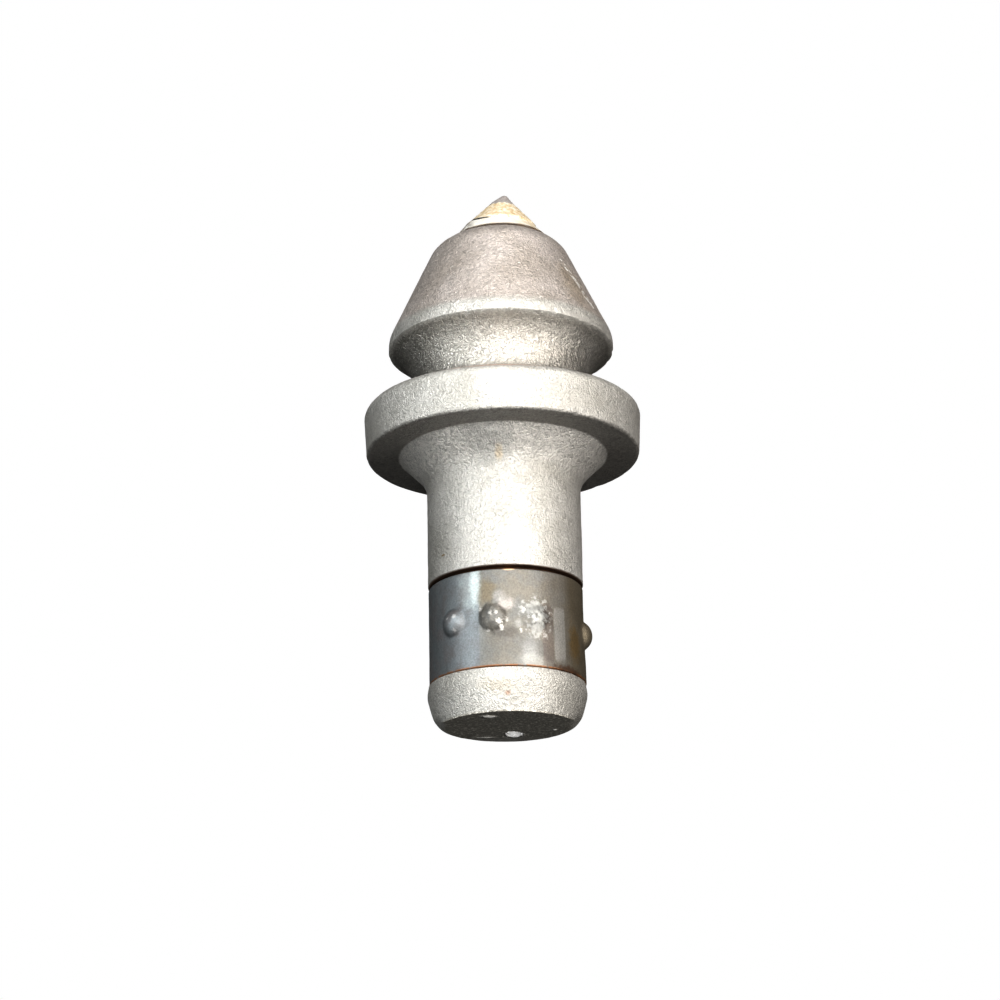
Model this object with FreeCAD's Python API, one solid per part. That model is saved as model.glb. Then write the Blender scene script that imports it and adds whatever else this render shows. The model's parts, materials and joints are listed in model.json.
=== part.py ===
import FreeCAD, Part
import math
import os

# Auger tooth: a round shank cutting tooth that turns in the holder of an earth auger.
# Millimetres. The Z axis is the tooth's axis, Z = 0 is the shank's end face and the tip
# points up. Four pieces: the forged body, the carbide tip, the braze that holds it and
# the split spring sleeve that turns on the neck and grips the holder's bore.

# Shank and neck
shank_diameter = 30.0
shank_length = 26.85
neck_length = 19.7
shoulder_edge_radius = 0.3

# Button at the shank's end, which keeps the sleeve on
button_length = 8.4
button_diameter = 30.7
button_widest_height = 6.4
button_edge_radius = 4.2
end_face_diameter = 27.3
end_face_edge_radius = 4.2

# Retaining sleeve
sleeve_wall = 1.2
sleeve_set_back = 0.12
sleeve_running_clearance = 0.08
sleeve_end_clearance = 0.08
sleeve_axial_play = 0.65
sleeve_edge_radius = 0.25
slot_width = 4.0
slot_angle = 250.0
dimple_height = 1.6
dimple_base_diameter = 5.3
dimple_first_angle = -42.0
dimple_pitch_angle = 32.0
dimple_places = (0, 1, 2, 4, 5, 6, 7)

# Collar that seats on the holder, and the cone that joins it to the shank
collar_diameter = 54.6
collar_thickness = 9.45
collar_draft = 0.5
collar_lower_edge_radius = 1.2
collar_upper_edge_radius = 1.7
root_cone_reach = 5.4
root_cone_rise = 5.45
root_fillet_radius = 6.9

# Extraction groove between the collar and the head
groove_root_diameter = 34.8
groove_lower_reach = 5.9
groove_lower_rise = 2.7
groove_lower_radius = 2.2
groove_wall_height = 7.5
groove_upper_radius = 8.6
groove_upper_rise = 2.55

# Head
head_diameter = 44.7
head_lip_chamfer = 0.2
land_height = 2.2
land_edge_radius = 4.7
cone_height = 20.25
cone_top_diameter = 25.8
nose_edge_radius = 6.8
nose_rise = 1.62

# Socket in the nose
socket_depth = 6.6
socket_corner_radius = 1.0
nose_lip_width = 1.4

# Braze between the socket and the tip, with the collar that wells up above the nose
braze_gap = 0.25
braze_collar_width = 1.15
braze_collar_height = 2.2
braze_collar_wall_height = 1.8
braze_collar_radius = 0.5

# Carbide tip
tip_plug_diameter = 15.0
tip_bevel_height = 1.15
tip_bevel_width = 0.2
tip_cone_half_angle = 44.0
tip_cone_top_diameter = 4.4
tip_point_height = 1.87
tip_point_radius = 1.0

# Limits on roundings, as shares of what they round
ONE_ROUNDED_END = 0.96
TWO_ROUNDED_ENDS = 0.48
LARGEST_BALL_SHARE = 0.9
GROOVE_LOWER_SHARE = 0.2

Z_AXIS = FreeCAD.Vector(0, 0, 1)
ORIGIN = FreeCAD.Vector(0, 0, 0)

# Radii worked out from the sizes above
shank_radius = shank_diameter / 2
sleeve_outer_radius = shank_radius - sleeve_set_back
sleeve_inner_radius = sleeve_outer_radius - sleeve_wall
neck_radius = sleeve_inner_radius - sleeve_running_clearance
root_cone_radius = shank_radius + root_cone_reach
collar_radius = collar_diameter / 2
collar_bottom_radius = collar_radius - collar_draft
groove_radius = groove_root_diameter / 2
groove_start_radius = groove_radius + groove_lower_reach
head_radius = head_diameter / 2
plug_radius = tip_plug_diameter / 2
socket_radius = plug_radius + braze_gap
nose_radius = socket_radius + nose_lip_width
tip_cone_radius = plug_radius - tip_bevel_width
tip_point_base_radius = tip_cone_top_diameter / 2
tip_ball_radius = min(tip_point_radius, LARGEST_BALL_SHARE * tip_point_base_radius)

# Heights worked out from the sizes above
shoulder_height = button_length + neck_length
collar_height = shoulder_height + shank_length
root_cone_start = collar_height - root_cone_rise
collar_top = collar_height + collar_thickness
groove_lower_height = collar_top + groove_lower_rise
groove_middle_height = groove_lower_height + GROOVE_LOWER_SHARE * groove_wall_height
groove_upper_height = groove_lower_height + groove_wall_height
land_bottom = groove_upper_height + groove_upper_rise
land_top = land_bottom + land_height
cone_top = land_top + cone_height
nose_top = cone_top + nose_rise
socket_bottom = nose_top - socket_depth
plug_bottom = socket_bottom + braze_gap
braze_top = nose_top + braze_collar_height
tip_cone_start = braze_top + tip_bevel_height
tip_cone_length = (tip_cone_radius - tip_point_base_radius) / math.tan(math.radians(tip_cone_half_angle))
tip_point_start = tip_cone_start + tip_cone_length
tip_height = tip_point_start + tip_point_height
sleeve_bottom = button_length + sleeve_end_clearance
sleeve_top = shoulder_height - sleeve_axial_play
dimple_height_on_shank = (sleeve_bottom + sleeve_top) / 2


def rounded_corner(before, corner, after, radius, room_before, room_after):
    """Tangent points and middle point of the arc that rounds a corner, within the room each side has."""
    to_before = before - corner
    to_after = after - corner
    half_angle = to_before.getAngle(to_after) / 2
    longest = min(to_before.Length * room_before, to_after.Length * room_after)
    tangent = min(radius / math.tan(half_angle), longest)
    fitted_radius = tangent * math.tan(half_angle)
    to_before.normalize()
    to_after.normalize()
    bisector = to_before + to_after
    bisector.normalize()
    start = corner + to_before * tangent
    end = corner + to_after * tangent
    middle = corner + bisector * (fitted_radius / math.sin(half_angle) - fitted_radius)
    return start, middle, end


def room_beside(neighbour):
    """Share of a side that a rounding may take: half of it where the next corner is rounded too."""
    return TWO_ROUNDED_ENDS if neighbour[2] > 0 else ONE_ROUNDED_END


def profile_face(corners):
    """Face in the XZ half plane, from corners given as (radius, height, corner radius)."""
    points = [FreeCAD.Vector(r, 0, z) for r, z, rounding in corners]
    count = len(points)
    arcs = []
    for i in range(count):
        following = (i + 1) % count
        if corners[i][2] > 0:
            arcs.append(rounded_corner(points[i - 1], points[i], points[following], corners[i][2],
                                       room_beside(corners[i - 1]), room_beside(corners[following])))
        else:
            arcs.append((points[i], None, points[i]))
    edges = []
    for i in range(count):
        start, middle, end = arcs[i]
        if middle is not None:
            edges.append(Part.Arc(start, middle, end).toShape())
        edges.append(Part.LineSegment(end, arcs[(i + 1) % count][0]).toShape())
    return Part.Face(Part.Wire(edges))


def turned(corners):
    """Solid of revolution about the tooth's axis."""
    return profile_face(corners).revolve(ORIGIN, Z_AXIS, 360)


def make_tooth_body():
    """Forged body: button, neck, shank, collar, groove and head, with the socket in the nose."""
    button_and_neck = [
        (0, 0, 0),
        (end_face_diameter / 2, 0, end_face_edge_radius),
        (button_diameter / 2, button_widest_height, button_edge_radius),
        (shank_radius, button_length, 0),
        (neck_radius, button_length, 0),
        (neck_radius, shoulder_height, 0),
    ]
    shank_and_collar = [
        (shank_radius, shoulder_height, shoulder_edge_radius),
        (shank_radius, root_cone_start, root_fillet_radius),
        (root_cone_radius, collar_height, 0),
        (collar_bottom_radius, collar_height, collar_lower_edge_radius),
        (collar_radius, collar_top, collar_upper_edge_radius),
    ]
    groove = [
        (groove_start_radius, collar_top, 0),
        (groove_radius, groove_lower_height, groove_lower_radius),
        (groove_radius, groove_middle_height, 0),
        (groove_radius, groove_upper_height, groove_upper_radius),
    ]
    head = [
        (head_radius - head_lip_chamfer, land_bottom, 0),
        (head_radius, land_bottom + head_lip_chamfer, 0),
        (head_radius, land_top, land_edge_radius),
        (cone_top_diameter / 2, cone_top, nose_edge_radius),
        (nose_radius, nose_top, 0),
    ]
    socket = [
        (socket_radius, nose_top, 0),
        (socket_radius, socket_bottom, socket_corner_radius),
        (0, socket_bottom, 0),
    ]
    return turned(button_and_neck + shank_and_collar + groove + head + socket)


def ball_tangent(flank_radius, flank_height, centre_height, ball_radius):
    """Radius and height where a flank that starts outside a ball on the axis touches it."""
    reach = math.hypot(flank_radius, centre_height - flank_height)
    rise = math.atan2(centre_height - flank_height, flank_radius)
    elevation = math.acos(ball_radius / reach) - rise
    return ball_radius * math.cos(elevation), centre_height + ball_radius * math.sin(elevation)


def make_carbide_tip():
    """Cemented carbide insert: a plug in the socket, and the bevelled cone with a ball point above it."""
    ball_height = tip_height - tip_ball_radius
    touch_radius, touch_height = ball_tangent(tip_point_base_radius, tip_point_start,
                                              ball_height, tip_ball_radius)
    cone = turned([
        (0, plug_bottom, 0),
        (plug_radius, plug_bottom, socket_corner_radius - braze_gap),
        (plug_radius, braze_top, 0),
        (tip_cone_radius, tip_cone_start, 0),
        (tip_point_base_radius, tip_point_start, 0),
        (touch_radius, touch_height, 0),
        (0, touch_height, 0),
    ])
    ball = Part.makeSphere(tip_ball_radius, FreeCAD.Vector(0, 0, ball_height))
    return cone.fuse(ball)


def make_braze_joint():
    """Braze: a thin cup between the socket and the plug, ending in the collar above the nose."""
    return turned([
        (0, socket_bottom, 0),
        (socket_radius, socket_bottom, socket_corner_radius),
        (socket_radius, nose_top, 0),
        (plug_radius + braze_collar_width, nose_top, 0),
        (plug_radius + braze_collar_width, nose_top + braze_collar_wall_height, braze_collar_radius),
        (plug_radius, braze_top, 0),
        (plug_radius, plug_bottom, socket_corner_radius - braze_gap),
        (0, plug_bottom, 0),
    ])


def ring(inner_radius, outer_radius, bottom, top, edge_radius):
    """Plain ring with rounded outer edges."""
    return turned([
        (inner_radius, bottom, 0),
        (outer_radius, bottom, edge_radius),
        (outer_radius, top, edge_radius),
        (inner_radius, top, 0),
    ])


def around_axis(shape, degrees):
    """Turn a shape made on the side that faces -Y to its own angle about the axis."""
    turned_copy = shape.copy()
    turned_copy.rotate(ORIGIN, Z_AXIS, degrees)
    return turned_copy


def make_retaining_sleeve():
    """Split spring sleeve with dimples pressed out of its wall."""
    sleeve = ring(sleeve_inner_radius, sleeve_outer_radius, sleeve_bottom, sleeve_top, sleeve_edge_radius)
    base_radius = dimple_base_diameter / 2
    dome_radius = (base_radius ** 2 + dimple_height ** 2) / (2 * dimple_height)
    dome_offset = sleeve_outer_radius + dimple_height - dome_radius
    centre = FreeCAD.Vector(0, -dome_offset, dimple_height_on_shank)
    bore = Part.makeCylinder(sleeve_inner_radius, sleeve_top - sleeve_bottom,
                             FreeCAD.Vector(0, 0, sleeve_bottom))
    dome = Part.makeSphere(dome_radius, centre)
    near_half = Part.makeBox(2 * sleeve_outer_radius, 2 * sleeve_outer_radius, sleeve_top - sleeve_bottom,
                             FreeCAD.Vector(-sleeve_outer_radius, -2 * sleeve_outer_radius, sleeve_bottom))
    dome = dome.cut(bore).common(near_half)
    hollow = Part.makeSphere(dome_radius - sleeve_wall, centre)
    for place in dimple_places:
        angle = dimple_first_angle + place * dimple_pitch_angle
        sleeve = sleeve.fuse(around_axis(dome, angle))
    for place in dimple_places:
        angle = dimple_first_angle + place * dimple_pitch_angle
        sleeve = sleeve.cut(around_axis(hollow, angle))
    slot = Part.makeBox(slot_width, 2 * sleeve_outer_radius, sleeve_top,
                        FreeCAD.Vector(-slot_width / 2, -2 * sleeve_outer_radius, 0))
    return sleeve.cut(around_axis(slot, slot_angle))


def export_solid(shape, node):
    """Write the one solid of a node to its STEP file."""
    solid = shape.Solids[0]
    if len(shape.Solids) != 1 or not solid.isValid():
        raise ValueError(node + " is not one valid solid")
    solid.exportStep("parts/" + node + ".step")


os.makedirs("parts", exist_ok=True)
export_solid(make_tooth_body(), "tooth_body")
export_solid(make_carbide_tip(), "carbide_tip")
export_solid(make_braze_joint(), "braze_joint")
export_solid(make_retaining_sleeve(), "retaining_sleeve")
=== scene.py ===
import json
import math
import random

import bpy
import numpy as np
from mathutils import Matrix, Vector, noise


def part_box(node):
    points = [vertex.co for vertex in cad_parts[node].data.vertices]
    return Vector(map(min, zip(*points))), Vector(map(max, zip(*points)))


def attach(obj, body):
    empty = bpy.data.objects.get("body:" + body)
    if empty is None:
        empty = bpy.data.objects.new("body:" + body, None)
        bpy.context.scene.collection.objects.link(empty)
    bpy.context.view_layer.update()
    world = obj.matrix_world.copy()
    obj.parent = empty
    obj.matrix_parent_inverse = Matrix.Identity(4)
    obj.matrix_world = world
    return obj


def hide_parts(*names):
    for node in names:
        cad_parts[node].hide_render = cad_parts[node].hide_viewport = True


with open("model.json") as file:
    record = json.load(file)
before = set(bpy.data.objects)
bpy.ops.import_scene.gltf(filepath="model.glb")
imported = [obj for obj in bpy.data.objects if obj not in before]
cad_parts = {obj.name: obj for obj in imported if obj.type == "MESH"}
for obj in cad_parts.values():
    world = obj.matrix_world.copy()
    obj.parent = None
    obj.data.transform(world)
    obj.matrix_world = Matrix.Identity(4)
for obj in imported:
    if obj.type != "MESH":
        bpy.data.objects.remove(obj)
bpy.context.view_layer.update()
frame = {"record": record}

# Sizes in millimetres, from the frame where it states them. Z runs up the tooth from its end face.
MM = 0.001
mounts = {mount["name"]: mount for mount in frame["record"]["mounts"]}
body_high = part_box("tooth_body")[1]
braze_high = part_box("braze_joint")[1]
tip_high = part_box("carbide_tip")[1]
sleeve_low, sleeve_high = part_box("retaining_sleeve")

shank_radius = mounts["shank"]["dims"]["r_mm"]
collar_bottom = mounts["collar_seat"]["pos_m"][2] / MM
nose_top = body_high[2] / MM
sleeve_bottom = sleeve_low[2] / MM
sleeve_top = sleeve_high[2] / MM
braze_top = braze_high[2] / MM
braze_radius = braze_high[0] / MM
plug_radius = tip_high[0] / MM
tip_top = tip_high[2] / MM

end_radius = 13.65
end_rounding = 4.2
button_radius = 15.35
button_height = 6.4
neck_radius = 13.6
neck_bottom = sleeve_bottom - 0.08
neck_top = sleeve_top + 0.65
sleeve_radius = shank_radius - 0.12
sleeve_wall = 1.2
root_cone_start = collar_bottom - 5.45
root_cone_radius = shank_radius + 5.4
collar_radius = 27.3
collar_top = collar_bottom + 9.45
groove_lower = collar_top + 3.0
groove_radius = 17.4
groove_start_radius = groove_radius + 5.9
groove_upper = groove_lower + 7.2
head_radius = 22.35
head_lip = 0.2
land_bottom = groove_upper + 2.55
land_top = land_bottom + 2.2
cone_top = nose_top - 1.62
cone_top_radius = 12.9
nose_radius = 9.15
end_rise = 0.5
end_mark = (1.1, 4.6)
end_mark_reach = (1.95, 3.1)
end_mark_depth = 2.2
socket_radius = plug_radius + 0.25
socket_bottom = nose_top - 6.6
tip_cone_start = braze_top + 0.75
tip_cone_radius = plug_radius - 0.2
point_start = tip_top - 2.0
point_radius = 2.3

# Crest of the braze on the carbide: its least height over the nose, how far it climbs above that,
# and the direction and width of the climb in degrees
crest_rise = 2.3
crest_climb = 1.35
crest_angle = -85.0
crest_spread = 35.0

# Dimples pressed out of the sleeve: angle in degrees from -Y towards +X, height, and how battered
dimple_base = 2.65
dimple_level = (sleeve_bottom + sleeve_top) / 2
dimple_reach = 5.0
dimples = [
    (-42, 1.6, 0.0),
    (-10, 1.25, 0.20),
    (22, 0.75, 0.16),
    (86, 1.6, 0.0),
    (118, 1.6, 0.0),
    (150, 1.6, 0.05),
    (182, 1.6, 0.0),
]
slot_angle = 250
slot_width = 4.0


def smooth_step(value, low, high):
    """0 below low, 1 above high, with a smooth change between. Works on numbers and arrays."""
    share = np.clip((value - low) / (high - low), 0.0, 1.0)
    return share * share * (3 - 2 * share)


def angle_point(angle, radius):
    """X and Y of a place on a circle, with the angle in radians from -Y towards +X."""
    return radius * np.sin(angle), -radius * np.cos(angle)


def angle_between(angle, degrees):
    """Signed angle in radians from a direction given in degrees."""
    return (angle - math.radians(degrees) + math.pi) % (2 * math.pi) - math.pi


# Outlines: corners as (radius, height, corner radius, spacing of the side that follows).
# Sides that are seen have FINE points, and hidden ones are COARSE.
FINE = 0.46
COARSE = 4.0


def rounded_corner(before, corner, after, radius, room_before, room_after):
    """Start, centre and end of the arc that rounds a corner, and its radius."""
    to_before = before - corner
    to_after = after - corner
    length_before = np.linalg.norm(to_before)
    length_after = np.linalg.norm(to_after)
    to_before = to_before / length_before
    to_after = to_after / length_after
    half = math.acos(float(np.clip(to_before @ to_after, -1, 1))) / 2
    tangent = min(radius / math.tan(half), room_before * length_before, room_after * length_after)
    fitted = tangent * math.tan(half)
    bisector = to_before + to_after
    centre = corner + bisector / np.linalg.norm(bisector) * fitted / math.sin(half)
    return corner + to_before * tangent, centre, corner + to_after * tangent, fitted


def side_points(start, end, spacing):
    """Points along a straight side, without its end."""
    count = max(1, int(round(np.linalg.norm(end - start) / spacing)))
    return [start + (end - start) * i / count for i in range(count)]


def arc_points(start, centre, end, radius, spacing):
    """Points along an arc, without its end."""
    first = math.atan2(start[1] - centre[1], start[0] - centre[0])
    turn = math.atan2(end[1] - centre[1], end[0] - centre[0]) - first
    turn = (turn + math.pi) % (2 * math.pi) - math.pi
    step = min(spacing, radius * 0.3)
    count = max(3, int(math.ceil(abs(turn) * radius / step)))
    angles = [first + turn * i / count for i in range(count)]
    return [centre + radius * np.array([math.cos(a), math.sin(a)]) for a in angles]


def outline_points(corners):
    """Points of an open outline with rounded corners."""
    points = [np.array(corner[:2], dtype=float) for corner in corners]
    path = []
    previous = points[0]
    for i in range(1, len(points)):
        spacing = corners[i - 1][3]
        if i < len(points) - 1 and corners[i][2] > 0:
            room_before = 0.48 if corners[i - 1][2] > 0 else 0.96
            room_after = 0.48 if corners[i + 1][2] > 0 else 0.96
            start, centre, end, radius = rounded_corner(points[i - 1], points[i], points[i + 1],
                                                        corners[i][2], room_before, room_after)
            path += side_points(previous, start, spacing)
            path += arc_points(start, centre, end, radius, min(spacing, corners[i][3]))
            previous = end
        else:
            path += side_points(previous, points[i], spacing)
            previous = points[i]
    path.append(points[-1])
    return np.array(path)


def outline_normals(path):
    """Outward normals of an outline that runs up the outside of a turned piece."""
    ahead = np.roll(path, -1, axis=0)
    behind = np.roll(path, 1, axis=0)
    ahead[-1] = path[-1]
    behind[0] = path[0]
    along = ahead - behind
    along /= np.linalg.norm(along, axis=1)[:, None]
    return np.stack([along[:, 1], -along[:, 0]], axis=1)


def turned_mesh(radii, heights, segments):
    """Closed mesh from the radius and height of each ring and segment. Its ends lie on the axis."""
    angles = np.arange(segments) * 2 * math.pi / segments
    x, y = angle_point(angles[None, :], radii)
    rings = len(radii)
    vertices = [tuple(v) for v in np.stack([x, y, heights], axis=2).reshape(-1, 3)]
    faces = []
    for ring in range(rings - 1):
        low = ring * segments
        high = low + segments
        for i in range(segments):
            j = (i + 1) % segments
            faces.append((low + i, low + j, high + j, high + i))
    first_pole = len(vertices)
    last = (rings - 1) * segments
    vertices.append((0.0, 0.0, float(heights[0].mean())))
    vertices.append((0.0, 0.0, float(heights[-1].mean())))
    for i in range(segments):
        j = (i + 1) % segments
        faces.append((first_pole, j, i))
        faces.append((first_pole + 1, last + i, last + j))
    return vertices, faces


def lathe(corners, segments, relief):
    """Radii and heights of a turned outline. relief gives a point's offset along its normal."""
    path = outline_points(corners)
    normals = outline_normals(path)
    path = path[1:-1]
    normals = normals[1:-1]
    angles = np.arange(segments) * 2 * math.pi / segments
    offsets = np.array([[relief(angle, *point, *normal) for angle in angles]
                        for point, normal in zip(path, normals)])
    return path[:, :1] + normals[:, :1] * offsets, path[:, 1:] + normals[:, 1:] * offsets


# Edges that turn by more than this are shaded as sharp
SHARP_FROM = math.radians(38)


def make_object(name, vertices, faces, body, replaced, material):
    """Mesh object from vertices in millimetres, riding on a body and standing for a CAD node."""
    mesh = bpy.data.meshes.new(name)
    mesh.from_pydata([(x * MM, y * MM, z * MM) for x, y, z in vertices], [], faces)
    mesh.validate()
    mesh.shade_smooth()
    mesh.set_sharp_from_angle(angle=SHARP_FROM)
    mesh.materials.append(material)
    piece = bpy.data.objects.new(name, mesh)
    bpy.context.scene.collection.objects.link(piece)
    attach(piece, body)
    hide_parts(replaced)
    return piece


# Tooth body

BODY_SEGMENTS = 384
body_corners = [
    (0, 0, 0, 1.2),
    (end_radius, 0, end_rounding, FINE),
    (button_radius, button_height, 4.2, FINE),
    (shank_radius, neck_bottom, 0, 0.7),
    (neck_radius, neck_bottom, 0, COARSE),
    (neck_radius, neck_top, 0, 0.7),
    (shank_radius, neck_top, 0.35, FINE),
    (shank_radius, root_cone_start, 6.9, FINE),
    (root_cone_radius, collar_bottom, 0.4, FINE),
    (collar_radius - 0.5, collar_bottom, 0.8, FINE),
    (collar_radius, collar_top, 1.7, FINE),
    (groove_start_radius, collar_top, 0, FINE),
    (groove_radius, groove_lower, 3.0, FINE),
    (groove_radius, groove_lower + 1.7, 0, FINE),
    (groove_radius, groove_upper, 8.6, FINE),
    (head_radius - head_lip, land_bottom, 0, head_lip),
    (head_radius, land_bottom + head_lip, 0, FINE),
    (head_radius, land_top, 4.7, FINE),
    (cone_top_radius, cone_top, 6.8, FINE),
    (nose_radius, nose_top, 0, 0.5),
    (socket_radius, nose_top, 0, COARSE),
    (socket_radius, socket_bottom, 0, COARSE),
    (0, socket_bottom, 0, COARSE),
]


def edge_nicks(seed, count, level, radius, spread):
    """Small dents along an edge: place on the surface, reach and depth, in millimetres."""
    draw = random.Random(seed)
    nicks = []
    for _ in range(count):
        angle = draw.uniform(0, 2 * math.pi)
        x, y = angle_point(angle, radius)
        place = Vector((x, y, level + draw.uniform(-spread, spread)))
        nicks.append((place, draw.uniform(0.5, 1.3), draw.uniform(0.05, 0.2)))
    return nicks


# Worn edges: seed, number of nicks, height, radius, and spread in height
worn_edges = [
    (11, 30, collar_bottom + 0.3, collar_radius - 0.5, 0.4),
    (12, 22, collar_top - 0.8, collar_radius - 0.5, 0.6),
    (13, 34, land_bottom + 0.4, head_radius, 0.7),
    (14, 14, 0.4, 13.4, 0.3),
    (15, 12, cone_top - 0.2, 12.0, 1.0),
]
body_nicks = [nick for edge in worn_edges for nick in edge_nicks(*edge)]


def nick_relief(place, nicks):
    """Depth of the dents at a place."""
    depth = 0.0
    for centre, reach, deep in nicks:
        if abs(centre.z - place.z) < 2 * reach:
            distance = (centre - place).length
            if distance < 2 * reach:
                depth += deep * math.exp(-(distance / reach) ** 2 * 2.5)
    return depth


def front_share(angle, full_to, none_from):
    """1 near the front, 0 behind, with a change between two directions in degrees."""
    return 1 - smooth_step(abs(angle_between(angle, 0)), math.radians(full_to), math.radians(none_from))


def sharper_rim(angle, z, normal_r, normal_z):
    """Offset that fills the end face's rounding up to a crisp edge, on the front only."""
    flank_tilt = math.atan2(button_height, button_radius - end_radius)
    tilt = math.atan2(normal_r, -normal_z)
    away = min(tilt, flank_tilt - tilt)
    if z > end_rounding or away <= 0:
        return 0.0
    crisp_radius = 0.5
    front = front_share(angle, 58, 84)
    return front * (end_rounding - crisp_radius) * (1 / math.cos(away) - 1)


def body_relief(angle, r, z, normal_r, normal_z):
    """Forging waviness, blasted relief and nicks of the body, never outwards. Noise is scaled per mm."""
    in_neck = neck_bottom - 0.01 < z < neck_top + 0.01 and r < shank_radius - 0.2
    in_socket = z > socket_bottom - 0.01 and r < socket_radius + 0.3
    if in_neck or in_socket:
        return 0.0
    x, y = angle_point(angle, r)
    place = Vector((x, y, z))
    waves = noise.noise(place * 0.11) * 0.07 + noise.noise(place * 0.3) * 0.04
    blasted = noise.fractal(place * 0.85, 1.0, 2.0, 3) * 0.022
    wear = min(waves + blasted - 0.05 - nick_relief(place, body_nicks), 0.0)
    nose_wear = 0.2 * front_share(angle, 50, 110) * smooth_step(z, cone_top - 3, cone_top + 0.5)
    return wear - nose_wear + sharper_rim(angle, z, normal_r, normal_z)


def make_body():
    """The forged body as one turned mesh. Its end face rises a little at the back and has a dent."""
    radii, heights = lathe(body_corners, BODY_SEGMENTS, body_relief)
    angles = np.arange(BODY_SEGMENTS) * 2 * math.pi / BODY_SEGMENTS
    x, y = angle_point(angles[None, :], radii)
    low_down = 1 - smooth_step(heights, 0.0, button_height)
    heights = heights + end_rise * smooth_step(y, 1.0, 13.0) * low_down
    heights = np.maximum(heights, 0.0)
    across = (x - end_mark[0]) / end_mark_reach[0]
    along = (y - end_mark[1]) / end_mark_reach[1]
    in_mark = (across ** 2 + along ** 2 < 1) & (heights < 1)
    heights = heights + np.where(in_mark, end_mark_depth * (1 - along) / 2, 0.0)
    vertices, faces = turned_mesh(radii, heights, BODY_SEGMENTS)
    surface = forged_steel()
    return make_object("forged_body", vertices, faces, "tooth", "tooth_body", surface)


# Braze and carbide tip

TIP_SEGMENTS = 224
BRAZE_ROWS = 30
tip_lean_start = 0.25
tip_lean = 0.055
point_lean = 0.25


def carbide_radius(z):
    """Radius of the carbide's clean flank at a height, for numbers and arrays."""
    share = (z - tip_cone_start) / (point_start - tip_cone_start)
    cone = tip_cone_radius + (point_radius - tip_cone_radius) * share
    bevel = plug_radius + (tip_cone_radius - plug_radius) * (z - braze_top) / (tip_cone_start - braze_top)
    return np.where(z > tip_cone_start, cone, np.where(z > braze_top, bevel, plug_radius))


def crest_height(angle):
    """Height at which the welled-up braze ends on the carbide: it climbs on the -X side."""
    turned = angle_between(angle, crest_angle) / math.radians(crest_spread)
    return nose_top + crest_rise + crest_climb * np.exp(-turned ** 2)


def crevice_share(angle):
    """How open the crevice above the braze is: open on the -X side, smeared shut on the +X side."""
    return 1 - smooth_step(np.abs(angle_between(angle, -95)), math.radians(80), math.radians(100))


def leaned(vertices):
    """The tip sits a little off the axis and leans to +X, its point more so."""
    moved = []
    for x, y, z in vertices:
        if z > nose_top - 0.05:
            x += tip_lean_start + tip_lean * max(z - nose_top, 0.0) + point_lean * max(z - point_start, 0.0)
        moved.append((x, y, z))
    return moved


def tip_relief(angle, r, z, normal_r, normal_z):
    """Smeared braze on the carbide's flank, and the crevice above the braze."""
    if z < nose_top:
        return 0.0
    x, y = angle_point(angle, r)
    place = Vector((x, y, z))
    below_point = 1 - smooth_step(z, point_start, point_start + 0.6)
    smear = noise.fractal(place * 0.9, 1.0, 2.0, 3) * 0.06 * below_point
    above_crest = z - crest_height(angle) - 0.1
    crevice = 0.3 * crevice_share(angle) * math.exp(-(above_crest / 0.2) ** 2)
    return smear - 0.04 - crevice


def make_tip():
    """Carbide tip with its plug."""
    corners = [
        (0, socket_bottom + 0.25, 0, COARSE),
        (plug_radius, socket_bottom + 0.25, 0, COARSE),
        (plug_radius, braze_top, 0, 0.16),
        (tip_cone_radius, tip_cone_start, 1.2, 0.16),
        (point_radius, point_start, 0.5, 0.14),
        (0.6, tip_top - 0.25, 0.8, 0.1),
        (0, tip_top, 0, 0.1),
    ]
    radii, heights = lathe(corners, TIP_SEGMENTS, tip_relief)
    vertices, faces = turned_mesh(radii, heights, TIP_SEGMENTS)
    surface = carbide()
    return make_object("carbide_point", leaned(vertices), faces, "tooth", "carbide_tip", surface)


def make_braze():
    """Braze: a cup in the socket whose collar wells up around the carbide."""
    angles = np.arange(TIP_SEGMENTS) * 2 * math.pi / TIP_SEGMENTS
    crest = crest_height(angles)
    foot = nose_top - 0.02
    cup_floor = socket_bottom + 0.2
    cup_radius = plug_radius - 0.3
    pole_radius = 0.02
    around = np.ones_like(angles)
    radii = [pole_radius * around, socket_radius * around, socket_radius * around]
    heights = [socket_bottom * around, socket_bottom * around, foot * around]
    lip = 0.03 + 0.13 * crevice_share(angles)
    rim = carbide_radius(crest) + lip
    braze_foot = braze_radius + 0.9 + 0.3 * np.maximum(np.sin(angles), 0.0)
    for row in range(BRAZE_ROWS + 1):
        z = foot + (crest - foot) * row / BRAZE_ROWS
        wall = braze_foot + (rim - braze_foot) * row / BRAZE_ROWS
        lumps = np.array([noise.fractal(Vector((*angle_point(a, 8.0), h)) * 0.6, 1.0, 2.0, 3)
                          for a, h in zip(angles, z)])
        radii.append(np.maximum(wall, carbide_radius(z) + lip) + lumps * 0.06 - 0.04)
        heights.append(z)
    radii += [carbide_radius(crest) - 0.3, cup_radius * around, cup_radius * around, pole_radius * around]
    heights += [crest, nose_top * around, cup_floor * around, cup_floor * around]
    vertices, faces = turned_mesh(np.array(radii), np.array(heights), TIP_SEGMENTS)
    surface = braze_metal()
    return make_object("braze_collar", leaned(vertices), faces, "tooth", "braze_joint", surface)


# Retaining sleeve

SLEEVE_STEPS = 600
SLEEVE_ROWS = 104
EDGE_TURNS = 3


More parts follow.
